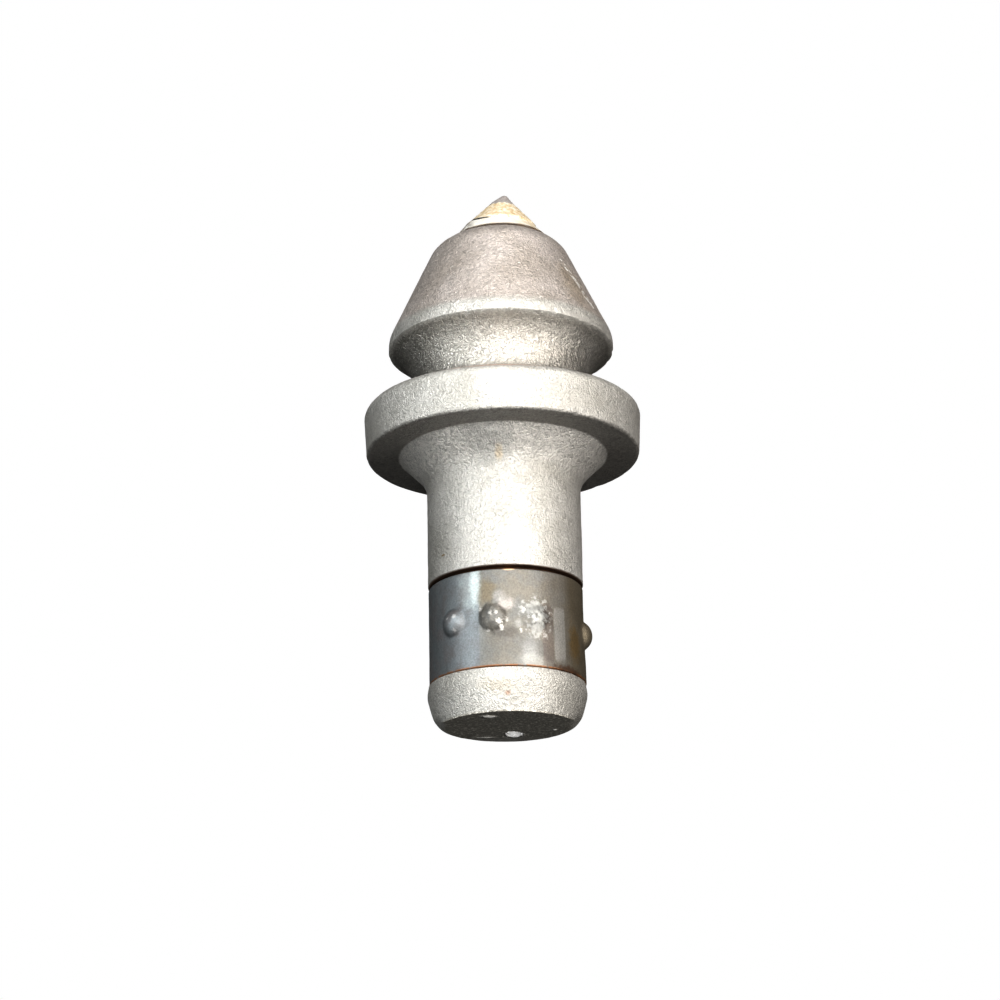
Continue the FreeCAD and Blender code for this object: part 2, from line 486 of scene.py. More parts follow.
def dimple_rise(distance, height):
    """Height of a pressed dome with a soft foot, at a distance from its middle."""
    soft_foot = 0.22
    dome_radius = (dimple_base ** 2 + height ** 2) / (2 * height)
    drop = dome_radius - height
    cap = math.sqrt(max(dome_radius ** 2 - distance ** 2, 0.0)) - drop
    return 0.5 * (cap + math.sqrt(cap * cap + soft_foot * soft_foot))


def sleeve_relief(angle, z):
    """Offset of the sleeve's outer wall: dimples, two of them battered, waviness and a flared foot."""
    x, y = angle_point(angle, sleeve_radius)
    place = Vector((x, y, z))
    rise = 0.0
    for degrees, height, battered in dimples:
        distance = math.hypot(angle_between(angle, degrees) * sleeve_radius, z - dimple_level)
        if distance < dimple_reach:
            dome = dimple_rise(distance, height)
            lumps = noise.fractal(place * 0.9, 1.0, 2.0, 3) * battered * math.exp(-(distance / 3.4) ** 4)
            rise = max(rise, dome + lumps)
    waves = noise.noise(place * 0.25) * 0.05 - 0.03
    flare = 0.25 * max(math.sin(angle), 0.0) ** 2 * (1 - smooth_step(z, 9.0, 20.0))
    return rise + waves + flare


def make_sleeve():
    """Split sleeve: outer and inner wall joined along the ends and the slot."""
    half_slot = slot_width / 2 / sleeve_radius
    first = math.radians(slot_angle) + half_slot
    last = math.radians(slot_angle) + 2 * math.pi - half_slot
    edge = 0.25
    turns = [math.pi / 2 * i / EDGE_TURNS for i in range(EDGE_TURNS)]
    straight = sleeve_top - sleeve_bottom - 2 * edge
    lower = [(sleeve_bottom + edge * (1 - math.cos(turn)), edge * (1 - math.sin(turn))) for turn in turns]
    middle = [(sleeve_bottom + edge + straight * i / SLEEVE_ROWS, 0.0) for i in range(SLEEVE_ROWS + 1)]
    upper = [(sleeve_bottom + sleeve_top - level, inset) for level, inset in reversed(lower)]
    levels = lower + middle + upper
    inner = sleeve_radius - sleeve_wall
    vertices = []
    for step in range(SLEEVE_STEPS + 1):
        angle = first + (last - first) * step / SLEEVE_STEPS
        for level, inset in levels:
            x, y = angle_point(angle, sleeve_radius - inset + sleeve_relief(angle, level))
            vertices.append((x, y, level))
        for level in (sleeve_top, sleeve_bottom):
            x, y = angle_point(angle, inner)
            vertices.append((x, y, level))
    around = len(levels) + 2
    faces = []
    for step in range(SLEEVE_STEPS):
        for k in range(around):
            n = (k + 1) % around
            a = step * around
            b = a + around
            faces.append((a + k, b + k, b + n, a + n))
    faces.append(tuple(range(around)))
    faces.append(tuple(reversed(range(SLEEVE_STEPS * around, (SLEEVE_STEPS + 1) * around))))
    return make_object("spring_sleeve", vertices, faces, "sleeve", "retaining_sleeve",
                       spring_steel())


# Material helpers

def new_material(name):
    """Empty node material with its Principled shader."""
    material = bpy.data.materials.new(name)
    material.use_nodes = True
    tree = material.node_tree
    return material, tree, tree.nodes["Principled BSDF"]


def plug(tree, socket, value):
    """Link a socket to an input, or set the input to a plain value."""
    if isinstance(value, bpy.types.NodeSocket):
        tree.links.new(value, socket)
    elif isinstance(value, tuple) and len(value) == 3 and socket.type == "RGBA":
        socket.default_value = (*value, 1.0)
    else:
        socket.default_value = value


def node(tree, kind, settings, **inputs):
    """Add a node, set its properties, and set or link its inputs by name."""
    made = tree.nodes.new(kind)
    for key, value in settings.items():
        setattr(made, key, value)
    for key, value in inputs.items():
        plug(tree, made.inputs[key.replace("_", " ")], value)
    return made


def object_coordinates(tree):
    """Object coordinates in metres."""
    return tree.nodes.new("ShaderNodeTexCoord").outputs["Object"]


def noise_factor(tree, place, size_mm, detail=3.0, rough=0.55, distortion=0.0):
    """Noise with features of about the given size."""
    made = node(tree, "ShaderNodeTexNoise", {}, Vector=place, Scale=1 / (size_mm * MM), Detail=detail,
                Roughness=rough, Distortion=distortion)
    return made.outputs["Fac"]


def remap(tree, value, low, high, to_low=0.0, to_high=1.0, smooth=False):
    """Map a value from one range to another, clamped."""
    made = node(tree, "ShaderNodeMapRange", {"interpolation_type": "SMOOTHSTEP" if smooth else "LINEAR"},
                Value=value)
    made.inputs["From Min"].default_value = low
    made.inputs["From Max"].default_value = high
    made.inputs["To Min"].default_value = to_low
    made.inputs["To Max"].default_value = to_high
    return made.outputs["Result"]


def math_node(tree, operation, first, second=0.0):
    """One arithmetic step on two values."""
    made = node(tree, "ShaderNodeMath", {"operation": operation})
    plug(tree, made.inputs[0], first)
    plug(tree, made.inputs[1], second)
    return made.outputs["Value"]


def vector_node(tree, operation, first, second):
    """One step on two vectors."""
    made = node(tree, "ShaderNodeVectorMath", {"operation": operation})
    plug(tree, made.inputs[0], first)
    plug(tree, made.inputs[1], second)
    return made.outputs["Value" if operation in ("LENGTH", "DOT_PRODUCT") else "Vector"]


def mix_color(tree, factor, first, second, blend="MIX"):
    """Mix two colours by a factor."""
    made = node(tree, "ShaderNodeMix", {"data_type": "RGBA", "blend_type": blend})
    plug(tree, made.inputs[0], factor)
    plug(tree, made.inputs[6], first)
    plug(tree, made.inputs[7], second)
    return made.outputs[2]


def bump(tree, height, distance_mm, normal=None):
    """Bump of a height between 0 and 1."""
    made = node(tree, "ShaderNodeBump", {}, Strength=1.0, Distance=distance_mm * MM, Height=height)
    if normal is not None:
        tree.links.new(normal, made.inputs["Normal"])
    return made.outputs["Normal"]


def split_mm(tree, place):
    """X, Y and Z of a place in millimetres."""
    scaled = node(tree, "ShaderNodeVectorMath", {"operation": "SCALE"}, Vector=place, Scale=1 / MM)
    split = node(tree, "ShaderNodeSeparateXYZ", {}, Vector=scaled.outputs["Vector"])
    return split.outputs["X"], split.outputs["Y"], split.outputs["Z"]


def flat_vector(tree, across, up):
    """Vector of a place on a flat or unrolled surface."""
    return node(tree, "ShaderNodeCombineXYZ", {}, X=across, Y=up).outputs["Vector"]


def degrees_around(tree, x, y):
    """Angle about the axis in degrees, from -Y towards +X."""
    angle = math_node(tree, "ARCTAN2", x, math_node(tree, "MULTIPLY", y, -1.0))
    return math_node(tree, "DEGREES", angle)


def spot(tree, flat, middle, reach, soft=0.25, ragged=None, square=False):
    """Mask of a place on a flat or unrolled surface: 1 inside its reach, 0 outside."""
    away = vector_node(tree, "DIVIDE", vector_node(tree, "SUBTRACT", flat, (*middle, 0.0)), (*reach, 1.0))
    if square:
        away = vector_node(tree, "MULTIPLY", away, away)
        away = vector_node(tree, "MULTIPLY", away, away)
    distance = vector_node(tree, "LENGTH", away, (0.0, 0.0, 0.0))
    if ragged is not None:
        distance = math_node(tree, "ADD", distance, ragged)
    return remap(tree, distance, 1 + soft, 1 - soft, smooth=True)


def painted(tree, color, spots):
    """Lay spots over a colour one after another. Each is a mask, its strength and its colour."""
    for mask, strength, tint in spots:
        color = mix_color(tree, math_node(tree, "MULTIPLY", mask, strength), color, tint)
    return color


# Forged steel

silver = (0.62, 0.605, 0.58)
silver_dark = (0.52, 0.505, 0.475)
cone_tint = (0.65, 0.60, 0.57)
cone_dark = (0.54, 0.49, 0.45)
# Zone tints: darker in the groove and on the seat under the collar as painted shade, lighter on the cone
# under the collar as painted light
groove_painted_shade = (0.46, 0.435, 0.40)
root_painted_light = (0.70, 0.68, 0.65)
seat_painted_shade = (0.36, 0.345, 0.325)
end_tint = (0.44, 0.42, 0.38)
end_freckle = (0.95, 0.92, 0.85)
end_white = (0.95, 0.95, 0.95)
rust_and_painted_shade = (0.13, 0.075, 0.045)
brown_stain = (0.33, 0.26, 0.17)
pale_mark = (0.80, 0.79, 0.76)
bare_metal_and_highlight = (0.95, 0.93, 0.90)

# Corners of a chipped scratch down the cone: angle in degrees and height in millimetres
scratch_corners = [(47.8, 92.4), (56.4, 87.0), (57.4, 83.8), (61.0, 82.3)]


def scratch_run(tree, flat, start, end):
    """Mask of a straight scratch between two places on the unrolled cone."""
    squeeze = 0.29  # millimetres for each degree around, at the cone's middle
    end_fade = 0.4
    clear_from = 0.72
    full_to = 0.46
    low = (start[0] * squeeze, start[1], 0.0)
    run = ((end[0] - start[0]) * squeeze, end[1] - start[1], 0.0)
    length = math.hypot(run[0], run[1])
    ahead = (run[0] / length, run[1] / length, 0.0)
    aside = (-ahead[1], ahead[0], 0.0)
    away = vector_node(tree, "SUBTRACT", vector_node(tree, "MULTIPLY", flat, (squeeze, 1.0, 1.0)), low)
    forward = vector_node(tree, "DOT_PRODUCT", away, ahead)
    sideways = math_node(tree, "ABSOLUTE", vector_node(tree, "DOT_PRODUCT", away, aside))
    before_end = remap(tree, forward, length + end_fade, length)
    inside = math_node(tree, "MULTIPLY", remap(tree, forward, -end_fade, 0.0), before_end)
    return math_node(tree, "MULTIPLY", inside, remap(tree, sideways, clear_from, full_to))


def scratch_mask(tree, unrolled):
    """Mask of the whole scratch, one run after another."""
    mask = scratch_run(tree, unrolled, scratch_corners[0], scratch_corners[1])
    for start, end in zip(scratch_corners[1:], scratch_corners[2:]):
        mask = math_node(tree, "MAXIMUM", mask, scratch_run(tree, unrolled, start, end))
    return mask


def body_zones(tree, height, end_plane):
    """Masks of the head's cone, the groove, the cone under the collar and the seat around it."""
    on_cone = remap(tree, height, land_top - 0.2, land_top + 1.6, smooth=True)
    in_groove = math_node(tree, "MULTIPLY", remap(tree, height, collar_top + 0.5, collar_top + 2.5),
                          remap(tree, height, land_bottom + 0.1, land_bottom - 0.5))
    above_shank = remap(tree, height, root_cone_start - 0.5, root_cone_start + 1.5)
    below_collar = remap(tree, height, collar_bottom + 0.4, collar_bottom + 0.1)
    on_root = math_node(tree, "MULTIPLY", above_shank, below_collar)
    from_axis = vector_node(tree, "LENGTH", end_plane, (0.0, 0.0, 0.0))
    outside_root = remap(tree, from_axis, root_cone_radius - 0.1, root_cone_radius + 0.3)
    near_seat = remap(tree, height, collar_bottom + 0.7, collar_bottom + 0.2)
    on_seat = math_node(tree, "MULTIPLY", outside_root, near_seat)
    return on_cone, in_groove, on_root, on_seat


def end_face(tree, place, end_plane, y, height, ragged):
    """Mask and colour of the dark end face, and the slopes of the light marks that tilt forward."""
    on_face = remap(tree, height, 0.55, 0.2, smooth=True)
    oval = spot(tree, end_plane, end_mark, end_mark_reach, 0.06)
    oval_dent = math_node(tree, "MULTIPLY", oval, remap(tree, height, 1.6, 1.4))
    flakes = [
        (spot(tree, end_plane, (-3.7, -10.0), (1.5, 0.8), 0.3, ragged), -10.0),
        (spot(tree, end_plane, (8.9, 0.6), (0.5, 0.6), 0.3, ragged), 0.6),
        (spot(tree, end_plane, (-4.4, 6.8), (2.0, 0.6), 0.4, ragged), 6.8),
    ]
    freckles = remap(tree, noise_factor(tree, place, 0.7, 3.0, 0.7), 0.50, 0.70)
    color = mix_color(tree, freckles, end_tint, end_freckle)
    color = painted(tree, color, [(oval, 1.0, end_white)])
    color = painted(tree, color, [(mask, 0.9, pale_mark) for mask, level in flakes])
    color = painted(tree, color, [
        (spot(tree, end_plane, (0.8, 4.8), (0.5, 0.5), 0.4, ragged), 0.8, (0.25, 0.24, 0.23)),
    ])
    slopes = math_node(tree, "MULTIPLY", oval_dent, remap(tree, y, 1.2, 8.0))
    for mask, level in flakes:
        tilted = math_node(tree, "MULTIPLY", mask, remap(tree, y, level - 3.0, level + 3.0))
        slopes = math_node(tree, "ADD", slopes, math_node(tree, "MULTIPLY", tilted, on_face))
    return math_node(tree, "MAXIMUM", on_face, oval_dent), color, slopes


def forged_steel():
    """Shot-blasted forged steel: pale on the shank and collar, warmer on the cone, dark on the end face."""
    material, tree, shader = new_material("forged_steel")
    place = object_coordinates(tree)
    x, y, height = split_mm(tree, place)
    around = degrees_around(tree, x, y)
    unrolled = flat_vector(tree, around, height)
    end_plane = flat_vector(tree, x, y)
    grain = noise_factor(tree, place, 0.62, 2.0, 0.55, 1.3)
    fine = noise_factor(tree, place, 0.25, 2.0, 0.5)
    lumps = noise_factor(tree, place, 2.2, 3.0, 0.55)
    patches = noise_factor(tree, place, 9.0, 3.0, 0.55)
    ragged = remap(tree, lumps, 0.2, 0.8, -0.45, 0.45)

    on_cone, in_groove, on_root, on_seat = body_zones(tree, height, end_plane)
    color = mix_color(tree, remap(tree, patches, 0.38, 0.68), silver, silver_dark)
    cone = mix_color(tree, remap(tree, patches, 0.40, 0.70), cone_tint, cone_dark)
    # The cone's own warmer tone, painted shade in the groove and on the seat under the collar, and painted
    # light on the cone under the collar
    color = painted(tree, color, [
        (on_cone, 1.0, cone),
        (in_groove, 0.65, groove_painted_shade),
        (on_root, 0.9, root_painted_light),
        (on_seat, 0.9, seat_painted_shade),
    ])

    # A darker grey patch and stains under the collar, and stains on the collar, the shank, the button and
    # the cone: degrees around and height
    color = painted(tree, color, [
        # Darker grey patch under the front of the collar
        (spot(tree, unrolled, (-8, 51.8), (13, 3.4), 0.5, ragged), 0.45, (0.40, 0.40, 0.39)),
        (spot(tree, unrolled, (-3, 50.2), (2.5, 1.4), 0.5, ragged), 0.5, (0.60, 0.50, 0.36)),
        (spot(tree, unrolled, (-5, 54.0), (7, 0.35), 0.5, ragged), 0.5, pale_mark),
        (spot(tree, unrolled, (-4, collar_top - 0.25), (17, 0.35), 0.6, ragged), 0.45, (0.66, 0.42, 0.32)),
        (spot(tree, unrolled, (-52, 32.1), (2.3, 0.22), 0.4, ragged), 0.9, brown_stain),
        (spot(tree, unrolled, (0, 3.4), (2.4, 0.5), 0.5, ragged), 0.7, (0.42, 0.28, 0.20)),
        (spot(tree, unrolled, (-8, 5.0), (12, 1.3), 0.6, ragged), 0.3, (0.50, 0.43, 0.33)),
        (spot(tree, unrolled, (48, 86), (9, 4.5), 0.7, ragged), 0.35, (0.45, 0.36, 0.24)),
    ])

    # Chipped scratch, and sparse bright flecks on the cone
    broken = remap(tree, noise_factor(tree, place, 1.2, 1.0), 0.45, 0.52)
    chips = math_node(tree, "MULTIPLY", scratch_mask(tree, unrolled), broken)
    sparse = remap(tree, noise_factor(tree, place, 0.8, 1.0), 0.70, 0.76)
    flecks = math_node(tree, "MULTIPLY", sparse, on_cone)
    color = painted(tree, color, [(chips, 0.9, bare_metal_and_highlight), (flecks, 0.6, bare_metal_and_highlight)])

    # Rust and painted shade in the neck, seen in the gap above the sleeve
    in_neck = math_node(tree, "MULTIPLY", remap(tree, height, neck_bottom - 0.2, neck_bottom + 0.1),
                        remap(tree, height, neck_top + 0.35, neck_top + 0.02))
    color = mix_color(tree, in_neck, color, rust_and_painted_shade)
    on_end, end_color, slopes = end_face(tree, place, end_plane, y, height, ragged)
    color = mix_color(tree, on_end, color, end_color)

    # Grain in the colour, stronger where the blasting left the surface coarser
    coarser = math_node(tree, "MAXIMUM", in_groove, math_node(tree, "MAXIMUM", on_seat, on_root))
    coarser = math_node(tree, "MAXIMUM", coarser, math_node(tree, "MULTIPLY", on_cone, 0.5))
    swing = math_node(tree, "ADD", math_node(tree, "MULTIPLY", coarser, 0.12), 0.12)
    speck = math_node(tree, "MULTIPLY", remap(tree, grain, 0.32, 0.68, -1.0, 1.0), swing)
    speck = math_node(tree, "ADD", speck, 1.0)
    color = mix_color(tree, 1.0, color, speck, "MULTIPLY")
    tree.links.new(color, shader.inputs["Base Color"])
    shader.inputs["Metallic"].default_value = 0.8

    # Roughness, lower in the groove, and the relief too fine for the mesh
    blasted = remap(tree, grain, 0.3, 0.7, 0.54, 0.62)
    rough = math_node(tree, "SUBTRACT", blasted, math_node(tree, "MULTIPLY", in_groove, 0.25))
    tree.links.new(rough, shader.inputs["Roughness"])
    relief = bump(tree, lumps, 0.05)
    relief = bump(tree, grain, 0.26, relief)
    relief = bump(tree, fine, 0.012, relief)
    relief = bump(tree, chips, 0.08, relief)
    relief = bump(tree, slopes, 8.0, relief)
    tree.links.new(relief, shader.inputs["Normal"])
    return material


# Spring steel

blue_grey = (0.34, 0.365, 0.38)
purple_grey = (0.31, 0.305, 0.31)
brown_grey = (0.33, 0.31, 0.275)
worn_grey = (0.70, 0.70, 0.68)


def beside(origin, across, up):
    """A place on the unrolled sleeve, from an origin."""
    return origin[0] + across, origin[1] + up


def spring_steel():
    """Smooth sleeve: blue-grey left of a sharp edge, brownish right of it, with stains, scuffs and rust."""
    material, tree, shader = new_material("spring_steel")
    place = object_coordinates(tree)
    x, y, height = split_mm(tree, place)
    around = degrees_around(tree, x, y)
    arc = math_node(tree, "MULTIPLY", around, math.radians(sleeve_radius))
    flat = flat_vector(tree, arc, height)
    grain = noise_factor(tree, place, 0.35, 3.0, 0.6)
    clouds = noise_factor(tree, place, 3.2, 4.0, 0.6)
    small = noise_factor(tree, place, 0.9, 3.0, 0.6)
    ragged = remap(tree, small, 0.2, 0.8, -0.5, 0.5)
    soft_edge = remap(tree, clouds, 0.2, 0.8, -0.5, 0.5)
    frayed = remap(tree, noise_factor(tree, place, 0.7, 3.0, 0.65), 0.35, 0.65, -0.8, 0.8)

    # Base colours: cool left of a painted reflection's sharp edge, warm right of it, common tone at the
    # back
    cool = mix_color(tree, remap(tree, clouds, 0.42, 0.60), blue_grey, purple_grey)
    warm = mix_color(tree, remap(tree, clouds, 0.40, 0.62), brown_grey, (0.34, 0.335, 0.32))
    color = mix_color(tree, remap(tree, arc, -5.5, -4.9, smooth=True), cool, warm)
    color = mix_color(tree, remap(tree, arc, 6.6, 8.4, 0.0, 0.5), color, (0.29, 0.26, 0.22))
    color = mix_color(tree, remap(tree, arc, 12.0, 14.5, 0.0, 0.6), color, (0.28, 0.23, 0.15))
    back = mix_color(tree, remap(tree, clouds, 0.40, 0.62), (0.36, 0.36, 0.35), (0.30, 0.285, 0.26))
    color = mix_color(tree, remap(tree, y, -3.0, 9.0, smooth=True), color, back)

    # Painted light, stains, streaks and scuffs, on the unrolled sleeve or beside one of the first three
    # dimples
    first, second, third = [(math.radians(row[0]) * sleeve_radius, dimple_level) for row in dimples[:3]]
    color = painted(tree, color, [
        # Painted reflection: a bright bluish strip high on the left, fading lower down
        (spot(tree, flat, (-7.2, 24.0), (2.2, 3.9), 0.5, soft_edge), 0.6, (0.58, 0.62, 0.62)),
        (spot(tree, flat, (-6.0, 24.4), (1.0, 3.6), 0.5, ragged), 0.75, (0.80, 0.86, 0.86)),
        (spot(tree, flat, (-7.5, 13.5), (3.0, 5.5), 0.6, soft_edge), 0.5, (0.44, 0.47, 0.49)),
        # Brown stain and a darker patch
        (spot(tree, flat, (-3.6, 23.0), (1.6, 2.4), 0.5, soft_edge), 0.65, (0.34, 0.28, 0.19)),
        (spot(tree, flat, (-1.0, 13.0), (3.6, 3.0), 0.6, soft_edge), 0.4, (0.27, 0.26, 0.24)),
        # Painted highlight: a pale patch low on the front
        (spot(tree, flat, (4.5, 11.6), (1.6, 2.2), 0.5, soft_edge), 0.5, (0.60, 0.60, 0.59)),
        (spot(tree, flat, (4.9, 9.6), (2.7, 1.5), 0.5, soft_edge), 0.5, (0.62, 0.62, 0.60)),
        # Painted reflections: a dark and a light upright strip towards +X
        (spot(tree, flat, (8.2, 15.0), (1.2, 5.8), 0.4, soft_edge, True), 0.55, (0.26, 0.22, 0.20)),
        (spot(tree, flat, (11.0, 15.4), (1.4, 5.2), 0.4, soft_edge, True), 0.65, (0.52, 0.51, 0.49)),
        # Rust, and marks beside the second and third dimples
        (spot(tree, flat, (15.5, 14.5), (1.8, 3.2), 0.5, ragged), 0.6, (0.33, 0.22, 0.08)),
        (spot(tree, flat, beside(second, 2.6, 2.6), (1.6, 1.2), 0.5, ragged), 0.6, (0.66, 0.62, 0.60)),
        (spot(tree, flat, beside(second, 1.2, 4.3), (1.2, 0.8), 0.5, ragged), 0.4, (0.62, 0.60, 0.58)),
        (spot(tree, flat, beside(second, 2.4, -3.0), (2.2, 1.1), 0.5, ragged), 0.6, (0.19, 0.175, 0.16)),
        (spot(tree, flat, beside(third, -0.3, 1.8), (2.2, 1.5), 0.5, frayed), 0.7, worn_grey),
        (spot(tree, flat, beside(third, 0.9, 0.2), (1.5, 1.2), 0.5, frayed), 0.7, worn_grey),
        (spot(tree, flat, beside(third, 0.3, -2.0), (1.6, 1.8), 0.5, frayed), 0.7, worn_grey),
        (spot(tree, flat, beside(third, -3.4, -1.3), (0.6, 0.8), 0.5, ragged), 0.35, worn_grey),
    ])
    speck = remap(tree, grain, 0.3, 0.7, 0.62, 0.84)
    color = mix_color(tree, 1.0, color, speck, "MULTIPLY")

    # Bright spots on the dimples, partly chips of bare metal and partly painted highlights: the dimple that
    # each lies beside, across, up, size and strength
    torn = remap(tree, noise_factor(tree, place, 0.4, 2.0, 0.6), 0.3, 0.7, -0.7, 0.7)
    chips = [(first, 1.1, 0.9, 0.3, 0.5), (first, -0.2, 0.7, 0.2, 0.6), (first, 0.9, -1.7, 0.25, 0.5),
             (second, -0.2, 0.6, 0.3, 0.6), (second, 0.8, 0.8, 0.3, 0.8),
             (second, 1.3, -0.9, 0.45, 0.85), (second, 1.7, -1.9, 0.4, 0.8), (second, 2.6, -0.5, 0.35, 0.5),
             (second, -2.2, 1.6, 0.3, 0.5), (second, -0.8, -2.5, 0.25, 0.4),
             (third, -2.4, 1.4, 0.35, 0.6), (third, -3.0, -2.6, 0.25, 0.5), (third, -0.4, -0.6, 0.3, 0.5)]
    for origin, across, up, size, strength in chips:
        chip_and_highlight = spot(tree, flat, beside(origin, across, up), (size, size * 1.2), 0.5, torn)
        color = painted(tree, color, [(chip_and_highlight, 0.65 * strength, bare_metal_and_highlight)])

    # Copper-coloured painted glint at the top edge, rust at the bottom edge, and a thick dark band low on
    # the +X side
    glint = spot(tree, flat, (0.6, sleeve_top), (1.1, 0.35), 0.4)
    rust_line = math_node(tree, "MULTIPLY", remap(tree, height, sleeve_bottom + 0.45, sleeve_bottom + 0.15),
                          remap(tree, small, 0.34, 0.48))
    dark_foot_band = spot(tree, flat, (13.0, sleeve_bottom), (3.6, 1.1), 0.5, ragged)
    color = painted(tree, color, [
        (glint, 0.9, (1.0, 0.72, 0.48)),
        (rust_line, 0.85, (0.40, 0.19, 0.08)),
        (dark_foot_band, 0.8, (0.11, 0.06, 0.035)),
    ])
    tree.links.new(color, shader.inputs["Base Color"])
    shader.inputs["Metallic"].default_value = 0.7
    tree.links.new(remap(tree, clouds, 0.3, 0.7, 0.48, 0.60), shader.inputs["Roughness"])
    relief = bump(tree, clouds, 0.10)
    tree.links.new(bump(tree, grain, 0.045, relief), shader.inputs["Normal"])
    return material


def braze_metal():
    """Pale, cream-coloured braze, a little golden on the +X side."""
    material, tree, shader = new_material("braze")
    place = object_coordinates(tree)
    x, y, height = split_mm(tree, place)
    grain = noise_factor(tree, place, 0.5, 3.0, 0.6)
    blotch = noise_factor(tree, place, 1.8, 3.0, 0.6)
    color = mix_color(tree, remap(tree, blotch, 0.40, 0.68), (1.0, 0.98, 0.93), (0.95, 0.89, 0.78))
    gold = math_node(tree, "MULTIPLY", remap(tree, x, 3.0, 7.0), remap(tree, blotch, 0.35, 0.55))
    color = mix_color(tree, math_node(tree, "MULTIPLY", gold, 0.6), color, (0.78, 0.62, 0.38))
    # Tarnish and painted shade darken the -X side
    tarnish_and_shade = math_node(tree, "MULTIPLY", remap(tree, x, -4.9, -6.3), remap(tree, blotch, 0.30, 0.50))
    color = mix_color(tree, math_node(tree, "MULTIPLY", tarnish_and_shade, 0.9), color, (0.33, 0.29, 0.25))
    # Painted shadow: a thin dark line at the braze's foot, next to the nose
    foot_shadow = remap(tree, height, nose_top + 0.30, nose_top + 0.16)
    color = mix_color(tree, math_node(tree, "MULTIPLY", foot_shadow, 0.6), color, (0.26, 0.19, 0.13))
    tree.links.new(color, shader.inputs["Base Color"])
    shader.inputs["Metallic"].default_value = 0.35
    shader.inputs["Roughness"].default_value = 0.5
    tree.links.new(bump(tree, grain, 0.06), shader.inputs["Normal"])
    return material


def carbide():
    """Grey carbide point above a flank smeared with brass-coloured braze, and painted shade in a crevice.
    """
    material, tree, shader = new_material("carbide")
    place = object_coordinates(tree)
    x, y, height = split_mm(tree, place)
    around = degrees_around(tree, x, y)
    grain = noise_factor(tree, place, 0.5, 3.0, 0.6)
    blotch = noise_factor(tree, place, 0.9, 3.0, 0.7)
    brass = mix_color(tree, remap(tree, blotch, 0.36, 0.64), (1.0, 0.93, 0.80), (0.72, 0.56, 0.34))
    grey = mix_color(tree, remap(tree, grain, 0.3, 0.7), (0.42, 0.385, 0.37), (0.58, 0.54, 0.52))
    wavy = math_node(tree, "ADD", height, remap(tree, blotch, 0.3, 0.7, -0.35, 0.35))
    bare = remap(tree, wavy, point_start - 1.15, point_start - 0.85, smooth=True)
    color = mix_color(tree, bare, brass, grey)

    # Painted shade in the crevice that runs just above the braze's crest, on the -X side only
    turned = math_node(tree, "DIVIDE", math_node(tree, "SUBTRACT", around, crest_angle), crest_spread)
    squared = math_node(tree, "MULTIPLY", turned, turned)
    climb = math_node(tree, "EXPONENT", math_node(tree, "MULTIPLY", squared, -1.0))
    crest = math_node(tree, "ADD", math_node(tree, "MULTIPLY", climb, crest_climb), nose_top + crest_rise)
    above = math_node(tree, "SUBTRACT", height, crest)
    thickness = remap(tree, around, -4.0, -50.0, 0.40, 0.72)
    inside = math_node(tree, "SUBTRACT", above, thickness)
    crevice_shade = math_node(tree, "MULTIPLY", remap(tree, inside, 0.0, -0.15), remap(tree, around, -9.0, -19.0))
    crevice_shade = math_node(tree, "MULTIPLY", crevice_shade, remap(tree, around, -125.0, -80.0))
    color = mix_color(tree, crevice_shade, color, (0.05, 0.045, 0.04))
    tree.links.new(color, shader.inputs["Base Color"])
    shader.inputs["Metallic"].default_value = 0.35
    shader.inputs["Roughness"].default_value = 0.5
    tree.links.new(bump(tree, grain, 0.06), shader.inputs["Normal"])
    return material


# Camera, lights, floor and world: lengths here are in metres and angles in degrees

camera_place = (-0.000753, -0.5, -0.12849)
camera_pitch = 19.262
camera_roll = -1.0747
camera_lens = 97.64

light_size = 0.25
light_distance = 0.7
cool_light = (0.95, 0.99, 1.0)
plain_light = (1.0, 0.985, 0.96)
warm_light = (1.0, 0.95, 0.89)

# Soft lights: name, azimuth, elevation, power in watts and colour.
# Azimuth 0 is the camera's side and 90 is +X.
soft_lights = [
    ("front", 0, 5, 2.35, plain_light),
    ("key_right", 30, 5, 1.7, plain_light),
    ("upper_left", -30, 30, 1.9, cool_light),
    ("upper_right", 30, 35, 1.7, plain_light),
    ("high", 0, 65, 1.0, plain_light),
    ("side_left", -55, 5, 1.55, cool_light),
    ("side_right", 55, 5, 1.35, warm_light),
    ("far_right", 80, 5, 0.15, warm_light),
    ("low_front", 0, -30, 1.4, plain_light),
    ("low_left", -60, -30, 1.1, cool_light),
    ("low_right", 60, -30, 1.8, plain_light),
    ("behind", 180, 15, 7.0, plain_light),
]


def make_camera():
    """Camera of the photo: half a metre away, below the tooth and looking up at it."""
    pitch = math.radians(camera_pitch)
    roll = math.radians(camera_roll)
    ahead = Vector((0, math.cos(pitch), math.sin(pitch)))
    level_right = Vector((1, 0, 0))
    level_up = level_right.cross(ahead)
    right = math.cos(roll) * level_right + math.sin(roll) * level_up
    up = math.cos(roll) * level_up - math.sin(roll) * level_right
    data = bpy.data.cameras.new("camera")
    data.sensor_width = 36.0
    data.lens = camera_lens
    data.clip_start = 0.01
    data.clip_end = 20.0
    camera = bpy.data.objects.new("camera", data)
    turn = Matrix((right, up, -ahead)).transposed().to_4x4()
    camera.matrix_world = Matrix.Translation(camera_place) @ turn
    bpy.context.scene.collection.objects.link(camera)
    bpy.context.scene.camera = camera


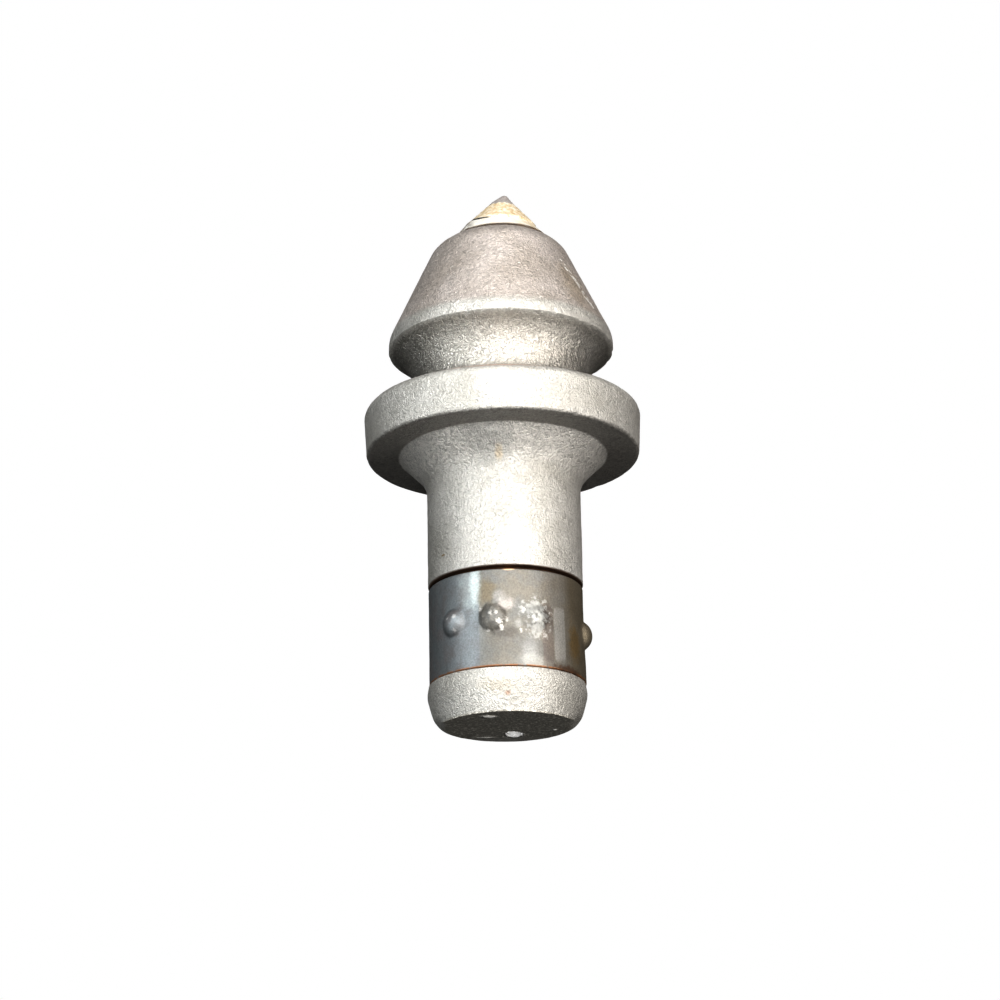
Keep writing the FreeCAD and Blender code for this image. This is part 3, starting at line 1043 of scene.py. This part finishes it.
def softbox(name, azimuth, elevation, power, color):
    """Square area light aimed at the tooth's middle."""
    middle = Vector((0, 0, tip_top * MM / 2))
    a = math.radians(azimuth)
    e = math.radians(elevation)
    back = Vector((math.sin(a) * math.cos(e), -math.cos(a) * math.cos(e), math.sin(e)))
    data = bpy.data.lights.new(name, "AREA")
    data.shape = "SQUARE"
    data.size = light_size
    data.energy = power
    data.color = color
    lamp = bpy.data.objects.new(name, data)
    lamp.location = middle + back * light_distance
    lamp.rotation_euler = back.to_track_quat("Z", "Y").to_euler()
    bpy.context.scene.collection.objects.link(lamp)
    return lamp


def make_lights():
    """Soft lights in front, above, below and at both sides, and one behind that isn't reflected."""
    lamps = {row[0]: softbox(*row) for row in soft_lights}
    lamps["behind"].visible_glossy = False


def make_floor():
    """Pale floor, seen from above only, that throws no light or shade back on the tooth."""
    mesh = bpy.data.meshes.new("floor")
    reach = 3.0
    mesh.from_pydata([(-reach, -reach, 0), (reach, -reach, 0), (reach, reach, 0), (-reach, reach, 0)], [],
                     [(0, 1, 2, 3)])
    floor = bpy.data.objects.new("floor", mesh)
    bpy.context.scene.collection.objects.link(floor)
    floor.visible_shadow = False
    floor.visible_diffuse = False
    floor.visible_glossy = False
    material = bpy.data.materials.new("floor")
    material.use_nodes = True
    tree = material.node_tree
    tree.nodes.remove(tree.nodes["Principled BSDF"])
    output = tree.nodes["Material Output"]
    pale = (0.8, 0.8, 0.79)
    glow_strength = 1.05
    matt = node(tree, "ShaderNodeBsdfDiffuse", {}, Color=pale)
    glow = node(tree, "ShaderNodeEmission", {}, Color=pale, Strength=glow_strength)
    lit = tree.nodes.new("ShaderNodeAddShader")
    tree.links.new(matt.outputs[0], lit.inputs[0])
    tree.links.new(glow.outputs[0], lit.inputs[1])
    clear = tree.nodes.new("ShaderNodeBsdfTransparent")
    side = tree.nodes.new("ShaderNodeNewGeometry")
    chosen = tree.nodes.new("ShaderNodeMixShader")
    tree.links.new(side.outputs["Backfacing"], chosen.inputs[0])
    tree.links.new(lit.outputs[0], chosen.inputs[1])
    tree.links.new(clear.outputs[0], chosen.inputs[2])
    tree.links.new(chosen.outputs[0], output.inputs["Surface"])
    mesh.materials.append(material)


def make_world():
    """White behind the tooth, and a dim even light from all round."""
    world = bpy.data.worlds.new("studio")
    bpy.context.scene.world = world
    world.use_nodes = True
    tree = world.node_tree
    backdrop = tree.nodes["Background"]
    backdrop.inputs["Color"].default_value = (1, 1, 1, 1)
    dim = node(tree, "ShaderNodeBackground", {}, Color=(1.0, 0.98, 0.95), Strength=0.01)
    rays = tree.nodes.new("ShaderNodeLightPath")
    chosen = tree.nodes.new("ShaderNodeMixShader")
    tree.links.new(rays.outputs["Is Camera Ray"], chosen.inputs[0])
    tree.links.new(dim.outputs[0], chosen.inputs[1])
    tree.links.new(backdrop.outputs[0], chosen.inputs[2])
    tree.links.new(chosen.outputs[0], tree.nodes["World Output"].inputs["Surface"])


make_camera()
make_body()
make_tip()
make_braze()
make_sleeve()
make_floor()
make_lights()
make_world()
bpy.context.scene.view_settings.view_transform = "Standard"
bpy.context.scene.view_settings.gamma = 0.72
